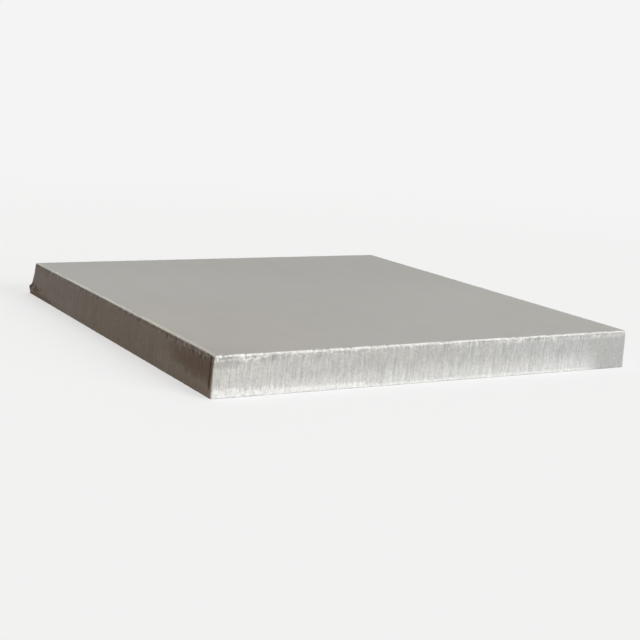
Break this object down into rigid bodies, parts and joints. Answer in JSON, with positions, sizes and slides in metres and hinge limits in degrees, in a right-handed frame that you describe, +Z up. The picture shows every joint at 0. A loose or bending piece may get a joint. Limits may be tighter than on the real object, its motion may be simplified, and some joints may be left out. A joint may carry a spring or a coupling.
{
  "type": "microporous insulation board",
  "caption": "Flat rigid board of pressed microporous powder insulation, with smooth faces, saw-scored edges, worn arrises and a broken corner.",
  "frame": {"origin": "middle of the lower pressed face, taken without the left edge's lean and the spur", "axes": "+X to the right along the front edge, +Y to the back, +Z up through the thickness"},
  "size_m": [0.302, 0.3397, 0.025],
  "materials": {
    "insulation_board": "matte pressed powder, darker and smoother on the pressed faces, paler on the sawn edges"
  },
  "bodies": {
    "root": {"insulation_board": "insulation_board"}
  },
  "joints": []
}
